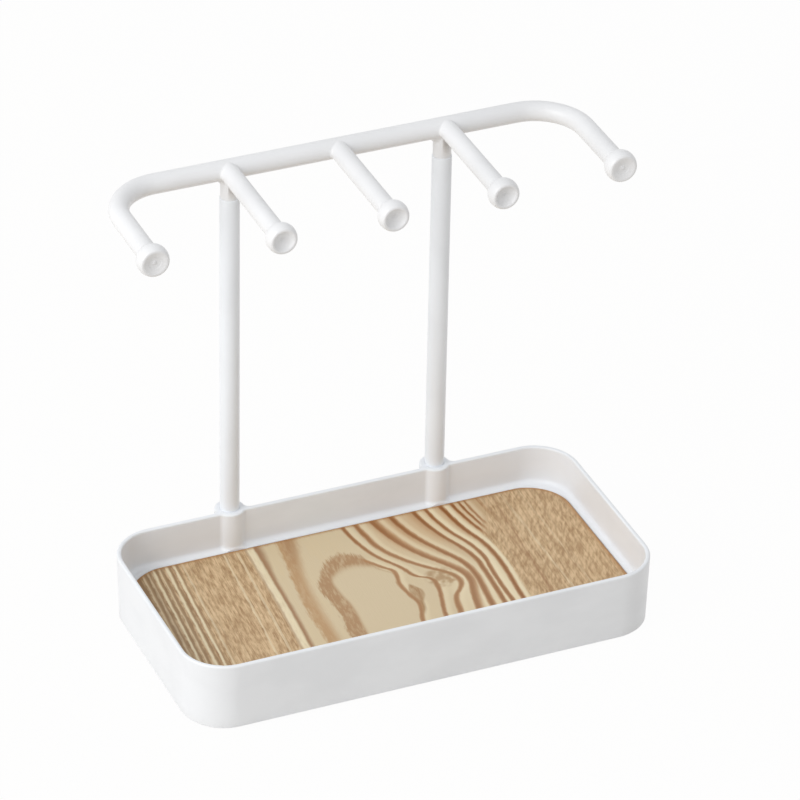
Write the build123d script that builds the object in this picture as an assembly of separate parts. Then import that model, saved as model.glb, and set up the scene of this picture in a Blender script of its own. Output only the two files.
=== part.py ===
from build123d import *
import math
import os

# A stand for necklaces, rings and watches, in millimetres. A rounded tray with a board in
# its floor carries two posts in sockets in its back wall. A bar with five arms plugs onto
# the posts, and each arm ends in a dished knob. X runs along the tray, Y to its back and Z
# up. The origin is on the surface under the feet, in the middle of the stand's footprint.

# Tray
tray_length = 250.0
tray_width = 128.0
tray_height = 37.3
corner_radius = 23.4
wall = 2.4
wall_draft = 1.5
rim_round = 1.0
base_edge = 0.8
foot_stand = 1.0
floor_thickness = 2.4
floor_cove = 2.6

# Ribs under the tray's floor
rib_thickness = 1.6
rib_clearance = 1.0
long_bay = 42.0
cross_bay = 25.0

# Board in the floor's recess
board_depth = 21.2
board_margin = 3.8
board_corner_radius = 22.5
board_thickness = 3.0
board_clearance = 0.35
board_proud = 0.3
board_edge = 0.4

# Posts and the sockets that hold them
post_spacing = 112.4
post_behind_wall = 2.3
post_diameter = 10.0
post_bore = 8.0
post_edge = 0.4
socket_wall = 2.7
socket_floor = 4.0
socket_web_round = 2.9
socket_mouth = 0.2
socket_vent = 3.0
sliding_clearance = 0.1

# Bar, its arms and its stubs
bar_diameter = 10.2
bar_above_rim = 196.4
bend_radius = 26.0
inner_arm_diameter = 9.6
inner_arm_spacing = 57.6
inner_arm_reach = 74.0
end_arm_spacing = 242.8
end_arm_reach = 70.5
arm_root_round = 1.2
stub_drop = 15.7
stub_diameter = 9.2
stub_root_round = 4.0
spigot_length = 14.0
spigot_chamfer = 0.6

# Knobs
inner_knob_diameter = 15.4
end_knob_diameter = 16.0
knob_length = 12.0
knob_face_depth = 4.0
knob_rim_round = 1.0
knob_rim_width = 1.2
knob_neck_round = 1.0
inner_dish_depth = 2.4
end_dish_depth = 1.0
knob_spigot_diameter = 5.0
knob_spigot_length = 8.0
knob_spigot_chamfer = 0.4
press_clearance = 0.02
bore_relief = 0.5
gate_diameter = 2.0
gate_height = 0.5
dimple_radius = 1.2
dimple_depth = 0.6

# Feet
foot_diameter = 10.0
foot_thickness = 2.5
foot_edge = 0.5
foot_cup_wall = 1.6
foot_clearance = 0.1

# Heights above the surface
rim_z = foot_stand + tray_height
board_top_z = rim_z - board_depth
ledge_z = board_top_z - board_proud
recess_z = board_top_z - board_thickness
floor_under_z = recess_z - floor_thickness
socket_floor_z = foot_stand + socket_floor
bar_z = rim_z + bar_above_rim
seam_z = bar_z - stub_drop

# Places in plan, from the middle of the tray
post_x = post_spacing / 2
post_y = tray_width / 2 + post_behind_wall
socket_bore_radius = post_diameter / 2 + sliding_clearance
socket_radius = socket_bore_radius + socket_wall
foot_x = tray_length / 2 - corner_radius
foot_y = tray_width / 2 - corner_radius
footprint_shift = (post_y + socket_radius - tray_width / 2) / 2

from_end = (Align.CENTER, Align.CENTER, Align.MIN)
touching = 1e-4


def rounded_outline(inset):
    """The tray's outline seen from above, drawn in by an inset."""
    return RectangleRounded(tray_length - 2 * inset, tray_width - 2 * inset, corner_radius - inset)


def board_outline(play):
    """The board's outline seen from above, let out all round by some play."""
    inset = wall + board_margin - play
    length = tray_length - 2 * inset
    width = tray_width - 2 * inset
    return RectangleRounded(length, width, board_corner_radius + play)


def raised(sketch, low, high):
    """A sketch made solid between two heights."""
    return extrude(Pos(0, 0, low) * sketch, high - low)


def drafted(sketch, high, low):
    """A sketch made solid downwards, drawn in by the mould's draft."""
    return extrude(Pos(0, 0, high) * sketch, high - low, dir=(0, 0, -1), taper=wall_draft)


def at_posts(shape):
    """One copy of a shape on each post's axis."""
    return [Pos(side * post_x, post_y) * shape for side in (-1, 1)]


def at_feet(shape):
    """One copy of a shape over each foot."""
    return [Pos(x, y) * shape for x in (-foot_x, foot_x) for y in (-foot_y, foot_y)]


def web_corners(sketch, inset):
    """The corners where a socket's round wall meets the straight back wall."""
    line = tray_width / 2 - inset
    reach = post_x + socket_radius
    return [v for v in sketch.vertices() if abs(v.Y - line) < touching and abs(v.X) < reach]


def edges_at(shape, height):
    """The edges of a shape that lie level at a height."""
    level = shape.edges().filter_by(lambda edge: edge.bounding_box().size.Z < touching)
    return [edge for edge in level if abs(edge.center().Z - height) < touching]


def tray_outside():
    """The tray and its two sockets, seen from above."""
    sketch = rounded_outline(0) + at_posts(Circle(socket_radius))
    return fillet(web_corners(sketch, 0), socket_web_round)


def tray_inside():
    """The room between the walls, which goes round the sockets."""
    sketch = rounded_outline(wall) - at_posts(Circle(socket_radius))
    return fillet(web_corners(sketch, wall), socket_web_round)


def rib_places(side, widest_bay):
    """Where ribs stand along one side, so that they part the room in equal bays."""
    room = side - 2 * wall
    bays = math.ceil(room / widest_bay)
    return [room * (rib / bays - 0.5) for rib in range(1, bays)]


def floor_ribs():
    """Ribs that cross under the floor and stop short of the tray's lower edge."""
    low = foot_stand + rib_clearance
    height = floor_under_z - low
    middle = Pos(0, 0, low + height / 2)
    ribs = [middle * Pos(x) * Box(rib_thickness, tray_width, height) for x in rib_places(tray_length, long_bay)]
    ribs += [middle * Pos(0, y) * Box(tray_length, rib_thickness, height) for y in rib_places(tray_width, cross_bay)]
    return ribs


def make_tray():
    """The moulded tray with its raised floor, sockets, ribs and foot cups."""
    inside = tray_inside()
    tray = drafted(tray_outside(), rim_z, foot_stand) - raised(inside, ledge_z, rim_z)
    tray = fillet(tray.faces().sort_by(Axis.Z)[-1].edges(), rim_round)
    tray = chamfer(tray.faces().sort_by(Axis.Z)[0].edges(), base_edge)
    tray = fillet(edges_at(tray, ledge_z), floor_cove)
    tray -= raised(board_outline(board_clearance), recess_z, rim_z)
    under = drafted(inside, floor_under_z, foot_stand)
    tray -= under
    tray += under & (Part() + floor_ribs())
    cup_radius = foot_diameter / 2 + foot_clearance
    tray += at_feet(raised(Circle(cup_radius + foot_cup_wall), foot_stand, floor_under_z))
    tray -= at_feet(raised(Circle(cup_radius), foot_stand, foot_thickness))
    bore = raised(Circle(socket_bore_radius), socket_floor_z, rim_z)
    mouth_z = rim_z - socket_mouth
    mouth_radius = socket_bore_radius + socket_mouth
    bore += Pos(0, 0, mouth_z) * Cone(socket_bore_radius, mouth_radius, socket_mouth, align=from_end)
    bore += raised(Circle(socket_vent / 2), foot_stand, socket_floor_z)
    return tray - at_posts(bore)


def make_board():
    """The loose board, with its upper edge eased."""
    board = raised(board_outline(0), recess_z, board_top_z)
    return chamfer(board.faces().sort_by(Axis.Z)[-1].edges(), board_edge)


def make_post():
    """One post: a tube that stands on the socket's floor."""
    post = raised(Circle(post_diameter / 2), socket_floor_z, seam_z)
    post = chamfer(post.edges().filter_by(GeomType.CIRCLE), post_edge)
    return post - raised(Circle(post_bore / 2), socket_floor_z, seam_z)


def toward_front(x, along):
    """The place of a shape that points to the front, some way along an arm from the bar's axis."""
    return Pos(x, post_y - along, bar_z) * Rot(90, 0, 0)


def arm_places():
    """Each arm from left to right: its X, its reach from the bar's axis, and its diameter."""
    places = [(-end_arm_spacing / 2, end_arm_reach, bar_diameter)]
    places += [(step * inner_arm_spacing, inner_arm_reach, inner_arm_diameter) for step in (-1, 0, 1)]
    places += [(end_arm_spacing / 2, end_arm_reach, bar_diameter)]
    return places


def bent_bar():
    """The plain bar: one round section swept along the bar and round both bends."""
    end_x = end_arm_spacing / 2
    end_y = post_y - end_arm_reach + knob_length
    path = FilletPolyline(
        (-end_x, end_y, bar_z),
        (-end_x, post_y, bar_z),
        (end_x, post_y, bar_z),
        (end_x, end_y, bar_z),
        radius=bend_radius,
    )
    section = Plane(origin=path @ 0, z_dir=path % 0) * Circle(bar_diameter / 2)
    return sweep(section, path=path)


def blended(bar, branches, root_round):
    """The bar with round branches fused to its side, and each root curve rounded."""
    joined = bar + branches
    return fillet(joined.edges().filter_by(GeomType.BSPLINE), root_round)


def make_hook_bar():
    """The bar with its bent end arms, inner arms and the stubs that plug into the posts."""
    spigot = raised(Circle(post_bore / 2 - sliding_clearance), seam_z - spigot_length, bar_z)
    spigot = chamfer(spigot.faces().sort_by(Axis.Z)[0].edges(), spigot_chamfer)
    stubs = at_posts(raised(Circle(stub_diameter / 2), seam_z, bar_z) + spigot)
    arms = []
    for x, reach, diameter in arm_places()[1:-1]:
        arms.append(toward_front(x, 0) * Cylinder(diameter / 2, reach - knob_length, align=from_end))
    bar = bent_bar()
    bar = blended(bar, stubs, stub_root_round) + blended(bar, arms, arm_root_round)
    depth = knob_spigot_length + bore_relief
    bore = Pos(0, 0, -depth) * Cylinder(knob_spigot_diameter / 2 + press_clearance, depth, align=from_end)
    return bar - [toward_front(x, reach - knob_length) * bore for x, reach, _ in arm_places()]


def make_knob(arm_diameter, knob_diameter, dish_depth):
    """A round cap on a short neck, with a dish in its front and a spigot for the arm's bore."""
    ball = knob_diameter / 2
    middle = knob_length - knob_face_depth
    knob = raised(Circle(arm_diameter / 2), 0, middle) + Pos(0, 0, middle) * Sphere(ball)
    knob = fillet(knob.edges().filter_by(GeomType.CIRCLE).sort_by(Axis.Z)[1], knob_neck_round)
    knob -= raised(Circle(ball), knob_length, middle + ball)
    knob = fillet(knob.faces().sort_by(Axis.Z)[-1].edges(), knob_rim_round)
    dish = math.sqrt(ball**2 - knob_face_depth**2) - knob_rim_width
    hollow = (dish**2 + dish_depth**2) / (2 * dish_depth)
    knob -= Pos(0, 0, knob_length - dish_depth + hollow) * Sphere(hollow)
    spigot = raised(Circle(knob_spigot_diameter / 2), -knob_spigot_length, 0)
    return knob + chamfer(spigot.faces().sort_by(Axis.Z)[0].edges(), knob_spigot_chamfer)


def make_inner_knob():
    """An inner arm's knob, with a small dimple in the middle of its dish."""
    dimple = Cone(0, dimple_radius, 2 * dimple_depth, align=from_end)
    low = knob_length - inner_dish_depth - dimple_depth
    return make_knob(inner_arm_diameter, inner_knob_diameter, inner_dish_depth) - Pos(0, 0, low) * dimple


def make_end_knob():
    """An end arm's knob, with the nub of its moulding gate in a shallower dish."""
    dish_floor = knob_length - end_dish_depth
    gate = raised(Circle(gate_diameter / 2), dish_floor - gate_height, dish_floor + gate_height)
    return make_knob(bar_diameter, end_knob_diameter, end_dish_depth) + gate


def make_foot():
    """One anti-slip pad, with its lower edge eased."""
    foot = raised(Circle(foot_diameter / 2), 0, foot_thickness)
    return chamfer(foot.faces().sort_by(Axis.Z)[0].edges(), foot_edge)


def make_parts():
    """Every piece under its own name, in its place."""
    parts = {"tray": make_tray(), "wood_board": make_board(), "hook_bar": make_hook_bar()}
    parts["left_post"], parts["right_post"] = at_posts(make_post())
    names = ("left_end_knob", "left_knob", "middle_knob", "right_knob", "right_end_knob")
    end_knob, inner_knob = make_end_knob(), make_inner_knob()
    knobs = (end_knob, inner_knob, inner_knob, inner_knob, end_knob)
    for name, knob, (x, reach, _) in zip(names, knobs, arm_places()):
        parts[name] = toward_front(x, reach - knob_length) * knob
    for side, x in (("left", -foot_x), ("right", foot_x)):
        for end, y in (("front", -foot_y), ("back", foot_y)):
            parts[f"{end}_{side}_foot"] = Pos(x, y) * make_foot()
    return {name: Pos(0, -footprint_shift) * part for name, part in parts.items()}


os.makedirs("parts", exist_ok=True)
for name, part in make_parts().items():
    part.label = name
    export_step(part, f"parts/{name}.step")
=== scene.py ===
"""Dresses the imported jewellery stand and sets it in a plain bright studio.

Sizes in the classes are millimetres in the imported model's frame: X along the tray, Y to its back, Z up.
Meshes and lamps are placed in metres. Every piece rides on the body that carries its solid.
"""

import logging
import math
from dataclasses import dataclass, replace
from enum import Enum
from functools import cached_property, partialmethod, reduce

import bmesh
import bpy
from bmesh.types import BMVert, BMesh
from bpy.types import CurveMapping, ID, Material, NodeSocket, Object, World
from mathutils import Matrix, Vector

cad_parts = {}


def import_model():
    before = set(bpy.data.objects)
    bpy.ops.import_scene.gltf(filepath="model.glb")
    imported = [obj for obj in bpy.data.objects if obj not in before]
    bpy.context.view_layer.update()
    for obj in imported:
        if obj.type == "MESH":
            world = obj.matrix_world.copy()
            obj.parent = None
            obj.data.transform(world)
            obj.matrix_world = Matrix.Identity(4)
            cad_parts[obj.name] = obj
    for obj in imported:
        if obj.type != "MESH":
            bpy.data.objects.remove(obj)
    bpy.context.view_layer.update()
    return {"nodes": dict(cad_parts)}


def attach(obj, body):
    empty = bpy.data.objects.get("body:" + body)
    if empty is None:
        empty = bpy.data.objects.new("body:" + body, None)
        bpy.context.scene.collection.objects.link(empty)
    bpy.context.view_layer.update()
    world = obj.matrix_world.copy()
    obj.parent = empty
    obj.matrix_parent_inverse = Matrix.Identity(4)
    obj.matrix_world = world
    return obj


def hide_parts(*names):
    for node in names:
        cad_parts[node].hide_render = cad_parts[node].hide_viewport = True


MM = 0.001
log = logging.getLogger("jewellery_stand")

Colour = tuple[float, float, float]
Point = tuple[float, float]
Course = tuple[Point, ...]
Step = tuple[float, ...]
WHITE: Colour = (1.0, 1.0, 1.0)


class Slot(Enum):
    """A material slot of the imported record."""

    TRAY = "white_plastic"
    BOARD = "wood_board"
    POST = "white_post"
    RACK = "white_rack"
    FOOT = "foot_pad"


def linear(value: float) -> float:
    """The linear value of a screen colour's channel, both from 0 to 1."""
    return value / 12.92 if value <= 0.04045 else ((value + 0.055) / 1.055) ** 2.4


def colour(red: int, green: int, blue: int) -> Colour:
    """The linear colour that a shader takes for a screen colour with channels from 0 to 255."""
    return tuple(linear(channel / 255) for channel in (red, green, blue))


def darkened(tint: Colour, share: float) -> Colour:
    """A colour with only a share of its light."""
    return tuple(share * value for value in tint)


class Wire:
    """A socket of a node tree that takes part in shader maths.

    An expression on wires and numbers adds the Math nodes that work it out.
    """

    def __init__(self, shader: "Shader", socket: NodeSocket) -> None:
        """Wraps an output socket of a shader's tree."""
        self.shader = shader
        self.socket = socket

    def maths(self, operation: str, *others: "Wire | float") -> "Wire":
        """A Math node on this value, and on another where the operation takes two."""
        inputs = dict(enumerate((self, *others)))
        return self.shader.node("ShaderNodeMath", inputs, operation=operation)

    __add__ = __radd__ = partialmethod(maths, "ADD")
    __sub__ = partialmethod(maths, "SUBTRACT")
    __mul__ = __rmul__ = partialmethod(maths, "MULTIPLY")
    __truediv__ = partialmethod(maths, "DIVIDE")
    __pow__ = partialmethod(maths, "POWER")
    __abs__ = partialmethod(maths, "ABSOLUTE")
    largest = partialmethod(maths, "MAXIMUM")
    smallest = partialmethod(maths, "MINIMUM")

    def __rsub__(self, other: float) -> "Wire":
        """A number less this value."""
        return -1.0 * self + other

    def rise(self, low: float, high: float, most: float = 1.0) -> "Wire":
        """A smooth step from 0 at one value to the most at another, which may be smaller."""
        ramp = {"Value": self, "From Min": low, "From Max": high, "To Max": most}
        return self.shader.node("ShaderNodeMapRange", ramp, interpolation_type="SMOOTHSTEP")


class Shader:
    """The node tree of a material or of the world."""

    def __init__(self, owner: Material | World) -> None:
        """Starts with an empty tree.

        Args:
            owner: The material or world.
        """
        self.owner = owner
        owner.use_nodes = True
        self.tree = owner.node_tree
        self.tree.nodes.clear()

    def node(self, kind: str, inputs: dict, output: str | int = 0, **settings: object) -> Wire | None:
        """Adds a node.

        Args:
            kind: The node's type.
            inputs: A value or a wire for each named or numbered socket.
            output: The output socket that is wanted.
            settings: Its properties; points is a float curve's list of points.

        Returns:
            The output as a wire, or nothing for a node without outputs.
        """
        made = self.tree.nodes.new(kind)
        for key, value in settings.items():
            if key == "points":
                self._bend(made.mapping, value)
            else:
                setattr(made, key, value)
        for key, value in inputs.items():
            socket = made.inputs[key]
            if isinstance(value, Wire):
                self.tree.links.new(value.socket, socket)
            elif socket.type == "RGBA":
                socket.default_value = (*value, 1)
            else:
                socket.default_value = value
        return Wire(self, made.outputs[output]) if made.outputs else None

    @staticmethod
    def _bend(mapping: CurveMapping, points: list[Point]) -> None:
        """Gives a float curve its points, from 0 to 1 both ways."""
        curve = mapping.curves[0]
        curve.points[0].location = points[0]
        curve.points[-1].location = points[-1]
        for point in points[1:-1]:
            curve.points.new(*point)
        mapping.update()

    @cached_property
    def places(self) -> Wire:
        """Object coordinates, in metres."""
        return self.node("ShaderNodeTexCoord", {}, "Object")

    def axis(self, name: str) -> Wire:
        """One object coordinate, in millimetres."""
        return self.node("ShaderNodeSeparateXYZ", {"Vector": self.places}, name) / MM

    def blend(self, share: Wire | float, first: Wire | Colour, second: Wire | Colour) -> Wire:
        """Mixes two colours by the second one's share."""
        return self.node("ShaderNodeMix", {0: share, 6: first, 7: second}, 2, data_type="RGBA")

    def seen(self) -> Wire:
        """1 for the rays that show the studio white: from the camera, mirrored or through glass."""
        names = ("Is Camera Ray", "Is Glossy Ray", "Is Transmission Ray")
        return reduce(Wire.largest, [self.node("ShaderNodeLightPath", {}, name) for name in names])

    def surface(self, inputs: dict, bump: Wire, depth: float) -> Material:
        """Closes the material with a Principled BSDF.

        Args:
            inputs: Values and wires for the shader's sockets.
            bump: The height of the surface.
            depth: The depth that a height of 1 stands for, in millimetres.

        Returns:
            The material.
        """
        normal = self.node("ShaderNodeBump", {"Height": bump, "Distance": depth * MM})
        skin = self.node("ShaderNodeBsdfPrincipled", {**inputs, "Normal": normal})
        self.node("ShaderNodeOutputMaterial", {"Surface": skin})
        return self.owner


@dataclass(frozen=True)
class Mottle:
    """Fractal noise about 0, with a size along each axis and a turn about Z in degrees."""

    across: float
    along: float
    up: float
    turn: float = 0.0
    detail: float = 2.0
    roughness: float = 0.5

    def wire(self, shader: Shader) -> Wire:
        """The noise in a shader."""
        scale = tuple(size * MM for size in (self.across, self.along, self.up))
        inputs = {"Vector": shader.places, "Rotation": (0, 0, math.radians(self.turn)), "Scale": scale}
        places = shader.node("ShaderNodeMapping", inputs, vector_type="TEXTURE")
        inputs = {"Vector": places, "Scale": 1.0, "Detail": self.detail, "Roughness": self.roughness}
        return shader.node("ShaderNodeTexNoise", inputs) - 0.5


@dataclass(frozen=True)
class Coat:
    """A plain finish: a cloud blends its two tints, and a fine grain raises its surface.

    The tints blend over a smooth step of the cloud, or evenly where none is given. The roughness changes by a
    share of the cloud and a share of the grain.
    """

    name: str
    tint: Colour
    shade: Colour
    roughness: float
    cloud: Mottle
    cloud_share: float
    shaded: Step | None
    grain: Mottle
    depth: float
    grain_share: float = 0.0

    def material(self) -> Material:
        """Builds the material."""
        shader = Shader(bpy.data.materials.new(self.name))
        cloud, grain = self.cloud.wire(shader), self.grain.wire(shader)
        share = cloud.rise(*self.shaded) if self.shaded else cloud + 0.5
        tint = shader.blend(share, self.tint, self.shade)
        rough = self.roughness + self.cloud_share * cloud + self.grain_share * grain
        return shader.surface({"Base Color": tint, "Roughness": rough}, grain, self.depth)


# White plastic with a fine matt texture from its mould. The bar's is a little greyer than the tray's: painted
# shade for the bar and knobs, which hang high above the floor's bounce light.
TRAY_PLASTIC = Coat(
    "white_moulded_plastic", colour(238, 241, 245), colour(233, 236, 240), roughness=0.36,
    cloud=Mottle(38.0, 38.0, 19.0, detail=3.0), cloud_share=0.10, shaded=(-0.15, 0.2),
    grain=Mottle(0.35, 0.35, 0.35), depth=0.006, grain_share=0.10)
RACK_PLASTIC = replace(
    TRAY_PLASTIC, name="white_rack_plastic", tint=colour(236, 237, 239), shade=colour(231, 232, 234))

# White powder coat on a steel tube, with its fine orange peel.
POWDER = colour(238, 242, 247)
POWDER_COAT = Coat(
    "white_powder_coat", POWDER, darkened(POWDER, 0.97), roughness=0.30, cloud=Mottle(14.0, 14.0, 30.0),
    cloud_share=0.08, shaded=(-0.1, 0.2), grain=Mottle(1.1, 1.1, 1.1, detail=1.0), depth=0.012)

# Pale rubber of the feet.
RUBBER = colour(215, 215, 212)
GRIT = Mottle(0.5, 0.5, 0.5, detail=3.0)
FOOT_RUBBER = Coat(
    "foot_rubber", RUBBER, darkened(RUBBER, 0.85), roughness=0.6, cloud=GRIT, cloud_share=0.2,
    shaded=None, grain=GRIT, depth=0.02)


@dataclass(frozen=True)
class WoodTones:
    """The wood's colours."""

    pale: Colour = colour(215, 195, 158)
    heart: Colour = colour(213, 195, 162)
    bright: Colour = colour(234, 219, 185)
    tan: Colour = colour(163, 127, 85)
    straw: Colour = colour(220, 191, 150)
    ring: Colour = colour(174, 137, 97)
    band: Colour = colour(188, 151, 108)
    knot: Colour = colour(165, 127, 84)
    amber: Colour = colour(200, 146, 90)
    deep: Colour = colour(143, 92, 46)
    burnt: Colour = colour(140, 82, 20)
    # The brown of the dark stripes, and of the painted shade at the board's left end.
    dusk: Colour = colour(147, 114, 76)
    edge: Colour = colour(166, 114, 58)
    core: Colour = colour(176, 142, 104)


@dataclass(frozen=True)
class Veneer:
    """What the wood's features are drawn with: a place on the board, noises and colours."""

    shader: Shader
    x: Wire
    y: Wire
    fibre: Wire
    nap: Wire
    slanted: Wire
    tones: WoodTones
    reach: float = 62.0
    span: float = 160.0

    def line(self, course: Course) -> Wire:
        """The X at each Y of a line whose X and Y are listed from the board's back to its front."""
        length = 2 * self.reach
        points = [(0.5 + y / length, 0.5 + x / self.span) for x, y in reversed(course)]
        curve = self.shader.node("ShaderNodeFloatCurve", {"Value": self.y / length + 0.5}, points=points)
        return (curve - 0.5) * self.span

    def right_of(self, course: Course) -> Wire:
        """How far right of a line a place is."""
        return self.x - self.line(course)

    def mottled(self, share: float, change: float) -> Wire:
        """A share that changes with the nap."""
        return share + change * self.nap


LEFT_LINE: Course = ((-46.3, 58), (-48.3, 28), (-49.8, 0), (-52.3, -30), (-54, -58))
LAST_LINE: Course = (
    (55.9, 58), (57.3, 44), (59.4, 32.4), (63.3, 17.3), (64.4, 4), (64, -9), (62.5, -24), (61.9, -33),
    (60, -58))


@dataclass(frozen=True)
class Patch:
    """A soft-edged area of the board: how it fades in along Y, from the left and from the right."""

    along: Step
    left: Step
    right: Step

    def draw(self, at: Veneer, wood: Wire, tone: Colour) -> Wire:
        """Gives the area a tone over the wood so far."""
        area = at.y.rise(*self.along) * at.x.rise(*self.left) * at.x.rise(*self.right)
        return at.shader.blend(area, wood, tone)


@dataclass(frozen=True)
class GrainLine:
    """One dark late-wood line of the board.

    Its course holds X and Y from the board's back to its front. At the back the wood darkens over the fade
    up to the line. The dark core has its width left of the course and a blur right of it, and then the wood
    is palest, by the crest's share. A line may start or end on the board. The last fields are the same for
    all lines.
    """

    course: Course
    fade: float
    strength: float
    starts_at: float | None = None
    ends_at: float | None = None
    width: float = 2.0
    blur: float = 1.7
    crest: float = 0.45
    fade_power: float = 1.5
    fade_share: float = 0.38
    full_width: float = 0.2
    full_blur: float = 0.05
    crest_start: float = 0.45
    crest_end: Step = (3.4, 0.8)
    start_blur: Step = (5.0, -5.0)
    end_blur: Step = (-8.0, 6.0)

    def dark(self, at: Veneer, gap: Wire, back: Wire) -> Wire:
        """How dark the line makes a place.

        Args:
            at: The board.
            gap: How far right of the line the place is.
            back: How far to the board's back it is, from 0 to 1.

        Returns:
            The darkness, from 0 to 1.
        """
        soft = gap.rise(-self.fade, 0) ** self.fade_power * back * self.fade_share
        sharp = gap.rise(-self.width, -self.full_width * self.width)
        blurred = gap.rise(self.blur, self.full_blur * self.blur, self.strength)
        return self._between_ends(at, soft.largest(sharp) * blurred)

    def pale(self, at: Veneer, gap: Wire) -> Wire:
        """How bright the crest behind the line makes a place, from 0 to 1."""
        far, near = self.crest_end
        begun = gap.rise(self.crest_start * self.blur, self.blur)
        return self._between_ends(at, begun * gap.rise(self.blur + far, self.blur + near, self.crest))

    def _between_ends(self, at: Veneer, part: Wire) -> Wire:
        """Fades a part of the line out beyond the line's own ends."""
        for end, (out, full) in ((self.starts_at, self.start_blur), (self.ends_at, self.end_blur)):
            if end is not None:
                part = part * at.y.rise(end + out, end + full)
        return part


LATE_LINES = (
    GrainLine(
        ((-6, 34), (-1.7, 28.8), (2, 24.1), (6.7, 16.8), (10.4, 12.1), (10.6, 8), (9.1, 0), (10.2, -11),
         (11.6, -20), (8, -32), (4, -58)), 2.0, 0.65, starts_at=25.0),
    GrainLine(
        ((1.9, 58), (2.6, 48), (5.2, 35), (8.2, 26), (16, 12), (19.7, 3.2), (25.5, -1), (26.2, -9),
         (23.3, -21), (20, -33), (17, -58)), 2.8, 0.75),
    GrainLine(
        ((8.9, 58), (10, 46), (12.4, 32.4), (19.2, 19.4), (28.5, 7.9), (36.4, -1), (38.7, -8.5),
         (36, -14.5), (31.7, -19.7), (28.3, -32), (25, -58)), 3.2, 0.72, width=2.5, blur=2.2),
    GrainLine(
        ((17.4, 58), (19, 48), (23.5, 32), (30.4, 18.3), (37.2, 7.9), (42.4, -2), (43.4, -8),
         (40.3, -20.7), (37.6, -32), (34, -58)), 5.0, 0.76, width=2.2, blur=4.6),
    GrainLine(
        ((28.2, 58), (29.8, 47), (34.1, 32), (40.8, 18.3), (46.6, 5.8), (48.2, -5), (46.4, -23.3),
         (45.2, -33), (43, -58)), 7.0, 0.82, width=2.6, blur=2.6),
    GrainLine(
        ((40.8, 58), (42.4, 46), (45.9, 32.4), (51.3, 18.3), (54, 7), (54, -4), (53, -20), (51.9, -33),
         (50, -58)), 8.0, 0.84, width=2.5, crest=0.6),
    GrainLine(
        ((47.2, 58), (48.9, 45), (51.8, 32.4), (56.4, 19.4), (58.1, 8), (57.2, -6), (56.2, -23),
         (55.9, -33), (54, -58)), 2.4, 0.84, width=1.8, crest=0.9),
    GrainLine(LAST_LINE, 4.2, 0.92, width=2.3, crest=0.9),
    GrainLine(
        ((61.8, 58), (62.9, 47), (65.5, 33), (68.5, 20), (72, 0), (72, -58)), 1.8, 0.85, ends_at=26.0,
        width=1.6, blur=1.2),
    GrainLine(
        ((65.8, 58), (66.7, 47), (68.4, 36), (71, 20), (74, 0), (74, -58)), 1.6, 0.8, ends_at=30.0,
        width=1.4, blur=1.0),
    GrainLine(
        ((69.0, 58), (69.9, 44), (71.9, 30), (76, 0), (76, -58)), 1.2, 0.62, ends_at=33.0,
        width=1.2, blur=0.9),
    GrainLine(
        ((76.0, 58), (76.6, 46), (77.6, 36), (80, 0), (80, -58)), 1.2, 0.55, ends_at=38.0,
        width=1.4, blur=1.2),
)


@dataclass(frozen=True)
class LateWood:
    """The wavy late-wood lines right of the heart, and the wood between and beyond them."""

    lines: tuple[GrainLine, ...] = LATE_LINES
    back: Step = (-12, 42)
    front_light: Patch = Patch((10, -14, 0.5), (27, 37), (68, 62))
    back_warmth: Patch = Patch((6, 46, 0.27), (4, 26), (72, 62))
    beyond: Step = (3.0, 7.0, 0.7)
    burnt: Step = (18, 56)
    strength: float = 1.04
    burnt_strength: float = 0.10
    halo_spread: float = 2.2
    halo_share: float = 0.5

    def draw(self, at: Veneer, wood: Wire) -> tuple[Wire, Wire]:
        """Draws the lines.

        Args:
            at: The board.
            wood: The wood's colour so far.

        Returns:
            The new colour, and how dark the late wood is.
        """
        tones, blend = at.tones, at.shader.blend
        wood = self.front_light.draw(at, wood, tones.bright)
        wood = blend(at.right_of(LAST_LINE).rise(*self.beyond), wood, tones.band)
        wood = self.back_warmth.draw(at, wood, tones.amber)
        back = at.y.rise(*self.back)
        gaps = [(line, at.right_of(line.course)) for line in self.lines]
        late = reduce(Wire.largest, [line.dark(at, gap, back) for line, gap in gaps])
        glow = reduce(Wire.largest, [line.pale(at, gap) for line, gap in gaps])
        wood = blend(glow, wood, tones.bright)
        burnt = at.y.rise(*self.burnt)
        late = (late * (self.strength + self.burnt_strength * burnt)).smallest(1.0)
        wood = blend((late * self.halo_spread).smallest(1.0) * self.halo_share, wood, tones.amber)
        return blend(late, wood, blend(burnt, tones.deep, tones.burnt)), late


@dataclass(frozen=True)
class Dome:
    """The rounded top of the heart or of its ring: its place, its size and where it fades out."""

    middle: float
    half_width: float
    height: float
    fade: Step

    def below(self, x: Wire, y: Wire) -> Wire:
        """1 below the dome and 0 above it."""
        return (((x - self.middle) / self.half_width) ** 2 * self.height + y).rise(*self.fade)


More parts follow.
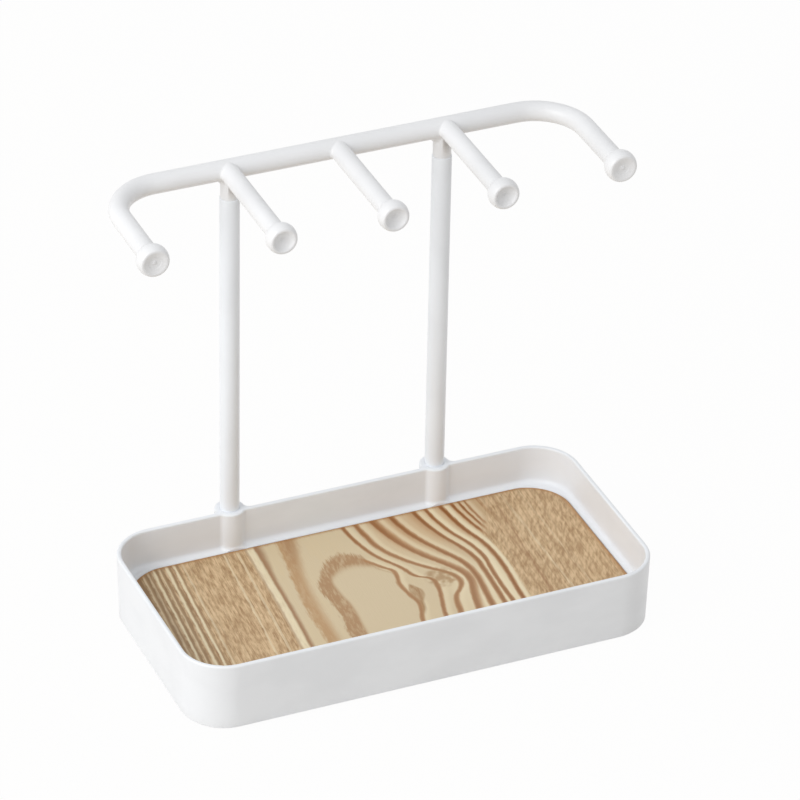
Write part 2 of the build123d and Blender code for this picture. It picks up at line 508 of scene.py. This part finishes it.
@dataclass(frozen=True)
class Heart:
    """The plain pale heart in a ragged brown ring, both open to the board's front."""

    left: Course = ((-21, 58), (-21.8, 12), (-21.6, 3), (-20.6, -9), (-22, -27), (-25, -58))
    right: Course = ((3, 58), (4, 17), (9.4, 9), (8.4, 0), (9.6, -11), (11, -20), (7.4, -32), (3, -58))
    top: Dome = Dome(-8.0, 17.0, 11.0, (26.5, 17.5))
    ring_top: Dome = Dome(-9.5, 21.0, 24.0, (37.5, 33.0))
    left_edge: Step = (-1.4, 2.2)
    right_edge: Step = (1.2, -1.6)
    ring_width: float = 8.6
    ring_left_edge: Step = (-0.9, 1.6)
    ring_right_edge: Step = (1.2, -0.6)
    ring_ragged: float = 4.0
    top_fibre: float = 14.0
    top_nap: float = 9.0
    ring_share: Step = (0.92, 2.2)

    def draw(self, at: Veneer, wood: Wire) -> Wire:
        """Draws the ring and the heart over the wood so far."""
        left, right = at.right_of(self.left), at.right_of(self.right)
        inside = left.rise(*self.left_edge) * right.rise(*self.right_edge) * self.top.below(at.x, at.y)
        ragged = at.y + self.top_fibre * at.fibre + self.top_nap * at.nap
        outside = (left + self.ring_width + self.ring_ragged * at.nap).rise(*self.ring_left_edge)
        outside = outside * right.rise(*self.ring_right_edge) * self.ring_top.below(at.x, ragged)
        wood = at.shader.blend(outside * (1.0 - inside) * at.mottled(*self.ring_share), wood, at.tones.ring)
        return at.shader.blend(inside, wood, at.tones.heart)


@dataclass(frozen=True)
class LeftBands:
    """The wide soft brown band left of the heart, and beyond it a thin dark line with a bright streak."""

    band_left: Course = ((-34.5, 58), (-39.5, 25), (-42.6, -3), (-43.9, -28), (-46, -58))
    band_right: Course = ((-26.5, 58), (-31.9, 31), (-35.8, 3), (-37.6, -31), (-39, -58))
    ragged: float = 3.2
    back: Step = (22, 54)
    band_left_edge: Step = (-1.2, 1.4)
    band_right_edge: Step = (3.6, -2.4)
    wider_back: float = 1.5
    band_share: Step = (0.92, 1.2)
    dark_part: Step = (-7.0, -2.0, 0.30)
    streak_left: Step = (-6.0, -3.5)
    streak_right: Step = (-0.1, -1.8)
    streak_share: Step = (0.85, 2.2)
    line_left: Step = (-1.3, 0.1)
    line_right: Step = (2.7, 0.2, 0.8)
    outer_left: Step = (-6.6, -5.2)
    outer_right: Step = (-3.8, -4.9, 0.45)

    def draw(self, at: Veneer, wood: Wire) -> Wire:
        """Draws the band, the streak and the line over the wood so far."""
        tones, blend = at.tones, at.shader.blend
        back = at.y.rise(*self.back)
        rough = at.x + self.ragged * at.nap
        past_right = rough - at.line(self.band_right)
        band = (rough - at.line(self.band_left)).rise(*self.band_left_edge)
        band = band * (past_right - self.wider_back * back).rise(*self.band_right_edge)
        wood = blend(band * at.mottled(*self.band_share), wood, tones.band)
        wood = blend(band * past_right.rise(*self.dark_part) * back, wood, tones.deep)
        gap = at.right_of(LEFT_LINE)
        streak = gap.rise(*self.streak_left) * gap.rise(*self.streak_right)
        wood = blend(streak * at.mottled(*self.streak_share), wood, tones.bright)
        line = gap.rise(*self.line_left) * (gap / (1.0 + back)).rise(*self.line_right)
        wood = blend(line, wood, tones.deep)
        return blend(gap.rise(*self.outer_left) * gap.rise(*self.outer_right), wood, tones.deep)


@dataclass(frozen=True)
class Knots:
    """The small pin knot beside the heart, and the netted swirl where two lines turn."""

    knot: Course = ((14, 58), (13.4, -3), (14.2, -9), (13.6, -16), (12.4, -23), (9.5, -31), (9.5, -58))
    half_width: Course = ((0.2, 58), (0.2, -1), (3.0, -8), (3.2, -12), (1.3, -18), (0.8, -25), (0.3, -58))
    ragged: float = 1.6
    edge: Step = (0.9, -0.9)
    knot_back: Step = (-0.5, -3.5)
    knot_front: Step = (-31, -25)
    knot_share: Step = (0.85, 1.8)
    swirl_middle: Point = (31.0, -2.0)
    swirl_half_size: Point = (9.0, 9.5)
    swirl_edge: Step = (1.15, 0.35)
    net: Mottle = Mottle(3.2, 4.2, 3.0, turn=-35, detail=1.0)
    net_share: Step = (-0.20, 0.18, 0.75)

    def draw(self, at: Veneer, wood: Wire) -> Wire:
        """Draws the knot and the swirl over the wood so far."""
        off = abs(at.right_of(self.knot)) + self.ragged * at.nap - at.line(self.half_width)
        knot = off.rise(*self.edge) * at.y.rise(*self.knot_back) * at.y.rise(*self.knot_front)
        wood = at.shader.blend(knot * at.mottled(*self.knot_share), wood, at.tones.knot)
        parts = zip((at.x, at.y), self.swirl_middle, self.swirl_half_size)
        across, along = (((place - middle) / size) ** 2 for place, middle, size in parts)
        swirl = (across + along).rise(*self.swirl_edge) * self.net.wire(at.shader).rise(*self.net_share)
        return at.shader.blend(swirl, wood, at.tones.knot)


@dataclass(frozen=True)
class Stripe:
    """A straight stripe of the board's ends. A tone above 0 is pale and one below 0 dark."""

    place: float
    width: float
    tone: float


@dataclass(frozen=True)
class FineGrain:
    """The fine grain of the board's two ends: mottled, with rare fibres and straight stripes."""

    left_stripes: tuple[Stripe, ...] = (
        Stripe(-114.5, 1.5, -0.9), Stripe(-112.2, 0.8, 0.5), Stripe(-110.5, 1.2, -0.8),
        Stripe(-108.2, 1.0, -0.55), Stripe(-106.1, 0.9, 1.0), Stripe(-104.6, 0.9, -0.8),
        Stripe(-102.9, 0.6, 0.6), Stripe(-101.6, 1.1, -0.75), Stripe(-99.0, 1.0, 1.0),
        Stripe(-97.4, 1.0, -0.8), Stripe(-95.0, 0.9, 1.0), Stripe(-93.5, 0.8, -0.55),
        Stripe(-90.4, 0.7, 0.5), Stripe(-67.9, 0.7, 0.6))
    right_stripes: tuple[Stripe, ...] = (
        Stripe(78.2, 0.8, -0.5), Stripe(88.8, 0.9, 0.6), Stripe(99.0, 0.6, 0.4))
    left_edge: Step = (-4.9, -6.0)
    right_edge: Step = (2.6, 4.2)
    right_start: float = 65.5
    later_back: Step = (18, 52, 12.0)
    right_ragged: float = 6.0
    right_blur: Step = (-3.5, 3.5)
    left_to_right: Step = (-60, 60)
    right_slanted: float = 0.85
    right_nap: float = 0.3
    patch: Mottle = Mottle(8.0, 18.0, 8.0, turn=-12)
    fibre_share: float = 1.7
    mottle_share: float = 2.6
    patch_share: float = 0.7
    tan_to_straw: Step = (-0.7, 0.7)
    lean: float = 0.08
    # Painted shade: the board darkens towards its left end, where the tray's left wall shadows it.
    left_wall_shade: Step = (-94, -116, 0.24)
    rare_size: float = 2.7
    rare_bright: Step = (0.60, 0.70, 0.45)
    rare_dark: Step = (0.38, 0.28, 0.35)
    stripe_ragged: float = 0.6
    stripe_edge: Step = (1.25, 0.1)
    thread_edge: Step = (1.3, 0.1)
    thread_share: float = 0.5
    thread_fibre: float = 3.0

    def draw(self, at: Veneer, wood: Wire) -> Wire:
        """Lays both ends over the wood so far."""
        left = at.right_of(LEFT_LINE).rise(*self.left_edge)
        start = self.right_start + at.y.rise(*self.later_back)
        right = at.right_of(LAST_LINE).rise(*self.right_edge)
        right = right * (at.x - start + self.right_ragged * at.nap).rise(*self.right_blur)
        return at.shader.blend(left.largest(right), wood, self._stripes(at, self._ground(at)))

    def _ground(self, at: Veneer) -> Wire:
        """The mottled ground, which slants more to the right."""
        slanted = self.right_slanted * at.slanted + self.right_nap * at.nap
        mottle = at.nap + at.x.rise(*self.left_to_right) * (slanted - at.nap)
        tone = self.fibre_share * at.fibre + self.mottle_share * mottle
        tone = tone + self.patch_share * self.patch.wire(at.shader)
        return at.shader.blend(tone.rise(*self.tan_to_straw), at.tones.tan, at.tones.straw)

    def _stripes(self, at: Veneer, fine: Wire) -> Wire:
        """Draws painted shade at the left edge, the shadow of the tray's left wall, then rare fibres and the
        stripes over the ground.
        """
        tones, blend = at.tones, at.shader.blend
        slant = at.x - self.lean * at.y
        # Painted shadow of the tray's left wall over the board's left end.
        fine = blend(slant.rise(*self.left_wall_shade), fine, tones.dusk)
        across = at.shader.node("ShaderNodeCombineXYZ", {"X": slant / self.rare_size})
        rare = at.shader.node("ShaderNodeTexNoise", {"Vector": across, "Scale": 1.0, "Detail": 0.0})
        fine = blend(rare.rise(*self.rare_bright), fine, tones.bright)
        fine = blend(rare.rise(*self.rare_dark), fine, tones.deep)
        thread = slant + self.stripe_ragged * at.nap
        for stripe in self.left_stripes:
            line = self._stripe(thread, stripe, self.stripe_edge)
            fine = blend(line, fine, tones.bright if stripe.tone > 0 else tones.dusk)
        broken = self.thread_share + self.thread_fibre * at.fibre
        for stripe in self.right_stripes:
            line = self._stripe(at.x, stripe, self.thread_edge) * broken
            fine = blend(line, fine, tones.bright if stripe.tone > 0 else tones.deep)
        return fine

    @staticmethod
    def _stripe(place: Wire, stripe: Stripe, edge: Step) -> Wire:
        """How strongly a stripe shows at a place, with its edge in shares of its width."""
        out, full = edge
        return abs(place - stripe.place).rise(out * stripe.width, full * stripe.width, abs(stripe.tone))


@dataclass(frozen=True)
class DarkerEdge:
    """The veneer darker towards the board's outline, and the plain core on the board's sides."""

    half_length: float = 118.8
    half_width: float = 57.8
    corner: float = 22.5
    ragged: float = 1.6
    edge_darkening: Step = (-3.0, 0.1, 0.8)
    core_z: Step = (16.5, 16.3)

    def draw(self, at: Veneer, wood: Wire, x: Wire) -> Wire:
        """Draws the edge and the core over the wood so far.

        Args:
            at: The board.
            wood: The wood's colour.
            x: The true X, without the grain's wander.

        Returns:
            The new colour.
        """
        over_x = (abs(x) - (self.half_length - self.corner)).largest(0.0)
        over_y = (abs(at.y) - (self.half_width - self.corner)).largest(0.0)
        out = (over_x * over_x + over_y * over_y) ** 0.5 - self.corner
        # Darkens the wood towards the board's outline.
        wood = at.shader.blend((out + self.ragged * at.fibre).rise(*self.edge_darkening), wood, at.tones.edge)
        core = at.shader.blend(0.5 + at.fibre, at.tones.core, at.tones.tan)
        return at.shader.blend(at.shader.axis("Z").rise(*self.core_z), wood, core)


@dataclass(frozen=True)
class WoodGrain:
    """Plain-sawn wood: a pale heart in a brown ring, wavy late-wood lines and fine grain at the ends."""

    name: str = "wood_grain"
    middle_y: float = -5.05
    sway: Mottle = Mottle(16.0, 40.0, 50.0)
    fibre: Mottle = Mottle(0.6, 14.0, 3.0, turn=-3, detail=3.0, roughness=0.65)
    nap: Mottle = Mottle(1.35, 6.5, 3.0, turn=-5, detail=3.0, roughness=0.62)
    slanted: Mottle = Mottle(1.5, 6.0, 3.0, turn=-24, detail=3.0, roughness=0.60)
    ragged: float = 1.1
    ground_fibre: float = 1.2
    ground_sway: float = 0.8
    ground: Step = (-0.4, 0.4)
    roughness: float = 0.50
    fibre_roughness: float = 0.16
    late_roughness: float = 0.06
    left_end: Step = (-50, -56)
    right_end: Step = (62, 68)
    middle_relief: float = 0.35
    fine_relief: float = 0.5
    late_relief: float = 0.3
    relief_depth: float = 0.14

    def material(self) -> Material:
        """Builds the material."""
        shader = Shader(bpy.data.materials.new(self.name))
        noises = (self.sway, self.fibre, self.nap, self.slanted)
        sway, fibre, nap, slanted = (noise.wire(shader) for noise in noises)
        true_x = shader.axis("X")
        x = true_x + sway + self.ragged * nap
        at = Veneer(shader, x, shader.axis("Y") - self.middle_y, fibre, nap, slanted, WoodTones())
        ground = (self.ground_fibre * fibre + self.ground_sway * sway).rise(*self.ground)
        wood = shader.blend(ground, at.tones.pale, at.tones.heart)
        wood = LeftBands().draw(at, Heart().draw(at, wood))
        wood, late = LateWood().draw(at, wood)
        wood = FineGrain().draw(at, Knots().draw(at, wood))
        wood = DarkerEdge().draw(at, wood, true_x)
        rough = self.roughness + self.fibre_roughness * fibre + self.late_roughness * late
        ends = x.rise(*self.right_end).largest(x.rise(*self.left_end))
        napped = (nap + slanted) * (self.middle_relief + (1.0 - self.middle_relief) * ends)
        relief = self.fine_relief * (fibre + napped) - self.late_relief * late
        return shader.surface({"Base Color": wood, "Roughness": rough}, relief, self.relief_depth)


@dataclass(frozen=True)
class PaleFloor:
    """The studio floor: white to the camera, with a faint soft shadow of the stand."""

    name: str = "studio_floor"
    tint: Colour = colour(219, 213, 205)
    glow: float = 0.97

    def material(self) -> Material:
        """Builds the material."""
        shader = Shader(bpy.data.materials.new(self.name))
        paper = shader.node("ShaderNodeBsdfDiffuse", {"Color": self.tint})
        white = shader.node("ShaderNodeEmission", {"Color": WHITE, "Strength": 1.0})
        mixed = shader.node("ShaderNodeMixShader", {0: shader.seen() * self.glow, 1: paper, 2: white})
        shader.node("ShaderNodeOutputMaterial", {"Surface": mixed})
        return shader.owner


def added(name: str, data: ID) -> Object:
    """Adds an object to the scene."""
    made = bpy.data.objects.new(name, data)
    bpy.context.scene.collection.objects.link(made)
    return made


def mesh_object(name: str, shape: BMesh) -> Object:
    """Adds a shape to the scene as an object."""
    data = bpy.data.meshes.new(name)
    shape.to_mesh(data)
    shape.free()
    return added(name, data)


@dataclass(frozen=True)
class Lamp:
    """A square soft lamp: its place and its side in millimetres, and its power in watts."""

    name: str
    place: tuple[float, float, float]
    side: float
    power: float

    def hang(self, aim: Vector) -> None:
        """Hangs the lamp so that it points at a place, in millimetres."""
        data = bpy.data.lights.new(self.name, "AREA")
        data.size = self.side * MM
        data.energy = self.power
        lamp = added(self.name, data)
        lamp.location = Vector(self.place) * MM
        lamp.rotation_mode = "QUATERNION"
        lamp.rotation_quaternion = (Vector(self.place) - aim).to_track_quat("Z", "Y")


@dataclass
class Studio:
    """The camera at the photograph's viewing angle, the lamps, the sky and the floor."""

    azimuth: float = -23.801
    elevation: float = 32.449
    roll: float = 1.172
    distance: float = 2605.2
    focal_pixels: float = 5286.3
    picture_side: int = 800
    sensor: float = 36.0
    aim: tuple[float, float, float] = (0.0, -5.05, 84.33)
    shift_right: float = 6.50
    shift_up: float = 37.14
    far_end: float = 20000.0
    lamps: tuple[Lamp, ...] = (
        Lamp("key", (-1620, -430, 1340), 1200, 19.0),
        Lamp("low_fill", (-1900, -800, 260), 1000, 4.5),
    )
    sky: float = 0.68
    seen_sky: float = 1.0
    floor_side: float = 6000.0

    def build(self) -> None:
        """Makes the whole studio."""
        bpy.context.scene.view_settings.view_transform = "Standard"
        self.open_sky()
        self.stand_camera()
        for lamp in self.lamps:
            lamp.hang(Vector(self.aim))
        self.lay_floor()

    def open_sky(self) -> None:
        """Lights the studio from all round, with a white sky behind it."""
        world = bpy.data.worlds.new("studio_sky")
        shader = Shader(world)
        strength = self.sky + (self.seen_sky - self.sky) * shader.seen()
        sky = shader.node("ShaderNodeBackground", {"Color": WHITE, "Strength": strength})
        shader.node("ShaderNodeOutputWorld", {"Surface": sky})
        bpy.context.scene.world = world

    def stand_camera(self) -> None:
        """Places the camera."""
        turn, lift, roll = (math.radians(angle) for angle in (self.azimuth, self.elevation, self.roll))
        back = Vector((math.sin(turn) * math.cos(lift), -math.cos(turn) * math.cos(lift), math.sin(lift)))
        right = (-back).cross(Vector((0, 0, 1))).normalized()
        up = right.cross(-back)
        place = Vector(self.aim) + self.shift_right * right + self.shift_up * up + self.distance * back
        side = math.cos(roll) * right + math.sin(roll) * up
        top = math.cos(roll) * up - math.sin(roll) * right
        data = bpy.data.cameras.new("camera")
        data.sensor_width = self.sensor
        data.lens = self.focal_pixels * self.sensor / self.picture_side
        data.clip_end = self.far_end * MM
        camera = added("camera", data)
        camera.matrix_world = Matrix.Translation(place * MM) @ Matrix((side, top, back)).transposed().to_4x4()
        bpy.context.scene.camera = camera

    def lay_floor(self) -> None:
        """Lays the floor."""
        shape = bmesh.new()
        bmesh.ops.create_grid(shape, x_segments=1, y_segments=1, size=self.floor_side * MM / 2)
        floor = mesh_object("studio_floor", shape)
        floor.data.materials.append(PaleFloor().material())


@dataclass
class Piece:
    """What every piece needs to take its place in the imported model."""

    name: str
    body: str
    node: str
    slot: Slot
    finish: Material
    sharp: float = 34.0

    def place(self, shape: BMesh, weighted: bool = False) -> None:
        """Turns a shape into the finished piece that stands for its node.

        Args:
            shape: The shape, in metres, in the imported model's frame.
            weighted: Whether large faces keep their own direction where they meet small rounds.
        """
        piece = mesh_object(self.name, shape)
        data = piece.data
        data.shade_smooth()
        data.set_sharp_from_angle(angle=math.radians(self.sharp))
        data.materials.append(self.finish)
        if weighted:
            normals = piece.modifiers.new("large_faces_first", "WEIGHTED_NORMAL")
            normals.keep_sharp = True
        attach(piece, self.body)
        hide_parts(self.node)
        log.info("%s stands for %s on %s: %d faces", self.name, self.node, self.body, len(data.polygons))


def merged(node: Object, gap: float = 0.002) -> BMesh:
    """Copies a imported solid, with near points merged so that its rounds shade smoothly."""
    shape = bmesh.new()
    shape.from_mesh(node.data)
    bmesh.ops.remove_doubles(shape, verts=shape.verts, dist=gap * MM)
    return shape


class Lathe:
    """Draws half a section, point by point, and turns it round its axis.

    The section lies in the XZ plane: a point is its radius and its height, in millimetres.
    """

    gap = 0.001

    def __init__(self, radius: float, height: float) -> None:
        """Starts the section at a point."""
        self.shape = bmesh.new()
        self.tip = self.shape.verts.new((radius * MM, 0, height * MM))

    def run(self, radius: float, height: float) -> "Lathe":
        """Draws a straight line to a point."""
        made = bmesh.ops.extrude_vert_indiv(self.shape, verts=[self.tip])
        self.tip = made["verts"][0]
        self.tip.co = (radius * MM, 0, height * MM)
        return self

    def arc(self, radius: float, height: float, degrees: float, steps: int) -> "Lathe":
        """Draws an arc round a centre, from the last point.

        Args:
            radius: The centre's distance from the axis.
            height: The centre's height.
            degrees: How far the arc turns, from the axis's outward side towards its top.
            steps: How many straight edges stand for it.

        Returns:
            The lathe.
        """
        made = bmesh.ops.spin(
            self.shape, geom=[self.tip], cent=(radius * MM, 0, height * MM), axis=(0, -1, 0),
            angle=math.radians(degrees), steps=steps, use_duplicate=False)
        self.tip = next(part for part in made["geom_last"] if isinstance(part, BMVert))
        return self

    def turn(self, place: Matrix, steps: int = 64) -> BMesh:
        """Turns the section round its axis and puts the shape in its place.

        Args:
            place: Where the axis's foot goes, in metres, and how it is turned.
            steps: How many facets go round.

        Returns:
            The closed shape, in metres.
        """
        parts = list(self.shape.verts) + list(self.shape.edges)
        bmesh.ops.spin(
            self.shape, geom=parts, cent=(0, 0, 0), axis=(0, 0, 1), angle=math.tau, steps=steps,
            use_merge=True)
        bmesh.ops.remove_doubles(self.shape, verts=self.shape.verts, dist=self.gap * MM)
        bmesh.ops.recalc_face_normals(self.shape, faces=self.shape.faces)
        bmesh.ops.transform(self.shape, matrix=place, verts=self.shape.verts)
        return self.shape


def standing(x: float, y: float, z: float) -> Matrix:
    """The place of a turned shape that stands upright on a point in millimetres."""
    return Matrix.Translation(Vector((x, y, z)) * MM)


def facing_front(x: float, y: float, z: float) -> Matrix:
    """The place of a turned shape whose axis points to the front from a point in millimetres."""
    return standing(x, y, z) @ Matrix.Rotation(math.radians(90), 4, "X")


@dataclass
class Tray:
    """The moulded tray, whose sockets hold the posts snugly at the mouth."""

    socket_x: float = 56.2
    socket_y: float = 61.25
    rim_z: float = 38.3
    mouth_depth: float = 0.2
    bore: float = 5.1
    snug_bore: float = 5.03
    kept_bevel: float = 0.3
    near: float = 0.02

    def build(self, packed: Object, finish: Material) -> None:
        """Builds the tray.

        Args:
            packed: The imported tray.
            finish: Its finish.
        """
        shape = merged(packed)
        for x in (-self.socket_x, self.socket_x):
            for depth, wider in ((0.0, self.mouth_depth), (self.mouth_depth, 0.0)):
                snug = self.snug_bore + self.kept_bevel * wider
                middle = Vector((x, self.socket_y, self.rim_z - depth))
                self._close_in(shape, middle, self.bore + wider, snug)
        Piece("tray_moulding", "base", "tray", Slot.TRAY, finish).place(shape, weighted=True)

    def _close_in(self, shape: BMesh, middle: Vector, radius: float, wanted: float) -> None:
        """Brings one ring of a socket's mouth to another radius.

        Args:
            shape: The tray, in metres.
            middle: The ring's middle, in millimetres.
            radius: The ring's radius.
            wanted: Its new radius.
        """
        ring = []
        for vert in shape.verts:
            away = vert.co / MM - middle
            if abs(away.z) < self.near and abs(away.to_2d().length - radius) < self.near:
                ring.append(vert)
        scale = Vector((wanted / radius, wanted / radius, 1))
        bmesh.ops.scale(shape, vec=scale, space=Matrix.Translation(-middle * MM), verts=ring)
        log.info("socket mouth at %s: %d points", tuple(middle), len(ring))


@dataclass
class Board:
    """The loose wood-grain board in the tray's floor."""

    length: float = 237.6
    width: float = 115.6
    corner: float = 22.5
    low: float = 14.1
    high: float = 17.1
    edge: float = 0.4
    middle_y: float = -5.05
    corner_steps: int = 24
    edge_steps: int = 3
    level: float = 0.01

    def build(self, finish: Material) -> None:
        """Builds the board: a rounded slab with its upper and lower edges eased."""
        shape = bmesh.new()
        size = Matrix.Diagonal((self.length * MM, self.width * MM, 1, 1))
        bmesh.ops.create_grid(shape, x_segments=1, y_segments=1, size=0.5, matrix=size)
        self._round(shape, list(shape.verts), self.corner, self.corner_steps, "VERTICES")
        bmesh.ops.translate(shape, vec=Vector((0, self.middle_y, self.low)) * MM, verts=shape.verts)
        raised = bmesh.ops.extrude_face_region(shape, geom=list(shape.faces))
        top = [part for part in raised["geom"] if isinstance(part, BMVert)]
        bmesh.ops.translate(shape, vec=Vector((0, 0, (self.high - self.low) * MM)), verts=top)
        bmesh.ops.recalc_face_normals(shape, faces=shape.faces)
        rims = [edge for edge in shape.edges if self._is_level(*edge.verts)]
        self._round(shape, rims, self.edge, self.edge_steps, "EDGES")
        Piece("veneered_board", "board", "wood_board", Slot.BOARD, finish).place(shape, weighted=True)

    def _is_level(self, first: BMVert, second: BMVert) -> bool:
        """Whether an edge's ends are at one height."""
        return abs(first.co.z - second.co.z) < self.level * MM

    @staticmethod
    def _round(shape: BMesh, parts: list, radius: float, steps: int, affect: str) -> None:
        """Rounds corners or edges by a radius in millimetres."""
        bmesh.ops.bevel(
            shape, geom=parts, offset=radius * MM, offset_type="OFFSET", profile_type="SUPERELLIPSE",
            segments=steps, profile=0.5, affect=affect, material=-1)


@dataclass
class Posts:
    """The two tubes that stand in the tray's sockets."""

    spacing: float = 112.4
    y: float = 61.25
    radius: float = 5.0
    bore: float = 4.0
    low: float = 5.0
    high: float = 219.0
    edge: float = 0.4
    edge_steps: int = 5
    steps: int = 72

    def build(self, finish: Material) -> None:
        """Builds both posts, with their cut ends rounded."""
        for side, name in ((-1, "left_post"), (1, "right_post")):
            inner = self.radius - self.edge
            tube = Lathe(self.bore, self.low).run(inner, self.low)
            tube.arc(inner, self.low + self.edge, 90, self.edge_steps)
            tube.run(self.radius, self.high - self.edge)
            tube.arc(inner, self.high - self.edge, 90, self.edge_steps)
            tube.run(self.bore, self.high).run(self.bore, self.low)
            shape = tube.turn(standing(side * self.spacing / 2, self.y, 0), self.steps)
            Piece(name + "_tube", "posts", name, Slot.POST, finish).place(shape)


@dataclass(frozen=True)
class Knob:
    """A dished cap on an arm's end: a short neck, a ball cut flat, and a dish with a small mark in it.

    The mark's section holds shares of its radius and height. A ring is a fine step's radius in the dish.
    The reach is how far the cap's face stands before the bar's axis.
    """

    reach: float
    arm: float
    ball: float
    dish_depth: float
    mark_height: float
    mark_radius: float = 1.0
    ring: float = 0.0
    ring_step: float = 0.22
    length: float = 12.0
    face_depth: float = 4.0
    rim: float = 1.0
    rim_width: float = 1.2
    neck: float = 1.0
    lip: float = 0.35
    lip_drop: float = 0.12
    spigot: float = 2.5
    spigot_length: float = 8.0
    spigot_edge: float = 0.4
    mark_foot: float = 1.4
    mark_section: Course = ((1.0, 0.3), (0.75, 0.9), (0.4, 1.0), (0.0, 1.0))
    round_steps: int = 8
    ball_steps: int = 28
    dish_steps: int = 18
    ring_steps: int = 10

    def shape(self, place: Matrix) -> BMesh:
        """Draws the knob's section and turns it.

        Args:
            place: Where the arm's end is, and which way it points.

        Returns:
            The shape.
        """
        section = Lathe(0, -self.spigot_length).run(self.spigot - self.spigot_edge, -self.spigot_length)
        section.run(self.spigot, self.spigot_edge - self.spigot_length)
        section.run(self.spigot, 0).run(self.arm, 0)
        self._neck_and_ball(section)
        self._dish(section)
        return section.turn(place)

    def _neck_and_ball(self, section: Lathe) -> None:
        """Draws the neck, the hollow round above it, the ball, and the round to its flat face."""
        middle = self.length - self.face_depth
        side = self.arm + self.neck
        drop = math.sqrt((self.ball + self.neck) ** 2 - side**2)
        start = -math.degrees(math.atan2(drop, side))
        section.run(self.arm, middle - drop)
        section.arc(side, middle - drop, start, self.round_steps)
        inner = self.ball - self.rim
        rise = self.face_depth - self.rim
        stop = math.degrees(math.asin(rise / inner))
        section.arc(0, middle, stop - start, self.ball_steps)
        section.arc(math.sqrt(inner**2 - rise**2), self.length - self.rim, 90 - stop, self.round_steps)

    def _dish(self, section: Lathe) -> None:
        """Draws the flat rim, the dish and the dimple or nub in its middle."""
        half = math.sqrt(self.ball**2 - self.face_depth**2) - self.rim_width
        hollow = (half**2 + self.dish_depth**2) / (2 * self.dish_depth)
        centre = self.length - self.dish_depth + hollow
        floor = self.length - self.dish_depth
        section.run(half + self.lip, self.length).run(half, self.length - self.lip_drop * self.lip)
        start = math.asin((half - self.lip) / hollow)
        section.run(half - self.lip, centre - hollow * math.cos(start))
        stop = math.asin(self.mark_radius * self.mark_foot / hollow)
        if self.ring:
            section.arc(0, centre, math.degrees(math.asin(self.ring / hollow) - start), self.ring_steps)
            inner = self.ring - self.ring_step
            start = math.asin(inner / hollow)
            section.run(inner, centre - hollow * math.cos(start) - self.ring_step)
            centre, floor = centre - self.ring_step, floor - self.ring_step
        section.arc(0, centre, math.degrees(stop - start), self.dish_steps)
        for across, high in self.mark_section:
            section.run(across * self.mark_radius, floor + high * self.mark_height)


@dataclass
class HookRack:
    """The bar with its five arms, and the knobs on them."""

    bar_z: float = 234.7
    back_y: float = 61.25
    end_x: float = 121.4
    inner_x: float = 57.6
    inner: Knob = Knob(reach=74.0, arm=4.8, ball=7.7, dish_depth=2.9, mark_height=-0.45)
    end: Knob = Knob(reach=70.5, arm=5.1, ball=8.0, dish_depth=1.3, mark_height=0.45, ring=3.4)
    knob_sharp: float = 50.0

    def build(self, bar: Object, finish: Material) -> None:
        """Builds the bar and the five knobs.

        Args:
            bar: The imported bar.
            finish: Its finish.
        """
        moulding = Piece("hook_bar_moulding", "rack", "hook_bar", Slot.RACK, finish)
        moulding.place(merged(bar), weighted=True)
        places = (
            ("left_end_knob", -self.end_x, self.end),
            ("left_knob", -self.inner_x, self.inner),
            ("middle_knob", 0.0, self.inner),
            ("right_knob", self.inner_x, self.inner),
            ("right_end_knob", self.end_x, self.end),
        )
        for name, x, knob in places:
            shape = knob.shape(facing_front(x, self.back_y - knob.reach + knob.length, self.bar_z))
            Piece(name + "_cap", "rack", name, Slot.RACK, finish, self.knob_sharp).place(shape)


@dataclass
class Feet:
    """The four soft pads under the tray."""

    x: float = 101.6
    y: float = 40.6
    middle_y: float = -5.05
    radius: float = 5.0
    thickness: float = 2.5
    edge: float = 0.5
    edge_steps: int = 4
    groove: float = 0.3
    groove_radii: tuple[float, ...] = (1.5, 3.0)

    def build(self, finish: Material) -> None:
        """Builds the pads, with two grip grooves turned in their undersides."""
        for end, x in (("left", -self.x), ("right", self.x)):
            for side, y in (("front", -self.y), ("back", self.y)):
                pad = self._pad(standing(x, y + self.middle_y, 0))
                name = f"{side}_{end}_foot"
                Piece(name + "_pad", "base", name, Slot.FOOT, finish).place(pad)

    def _pad(self, place: Matrix) -> BMesh:
        """Turns one pad in its place."""
        pad = Lathe(0, 0)
        for radius in self.groove_radii:
            pad.run(radius, 0).run(radius + self.groove, self.groove).run(radius + 2 * self.groove, 0)
        inner = self.radius - self.edge
        pad.run(inner, 0).arc(inner, self.edge, 90, self.edge_steps)
        return pad.run(self.radius, self.thickness).run(0, self.thickness).turn(place)


def main() -> None:
    """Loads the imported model, dresses it and lights it."""
    logging.basicConfig(level=logging.INFO, format="%(message)s")
    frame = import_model()
    nodes = frame["nodes"]
    Tray().build(nodes["tray"], TRAY_PLASTIC.material())
    Board().build(WoodGrain().material())
    Posts().build(POWDER_COAT.material())
    HookRack().build(nodes["hook_bar"], RACK_PLASTIC.material())
    Feet().build(FOOT_RUBBER.material())
    Studio().build()


if __name__ == "__main__":
    main()
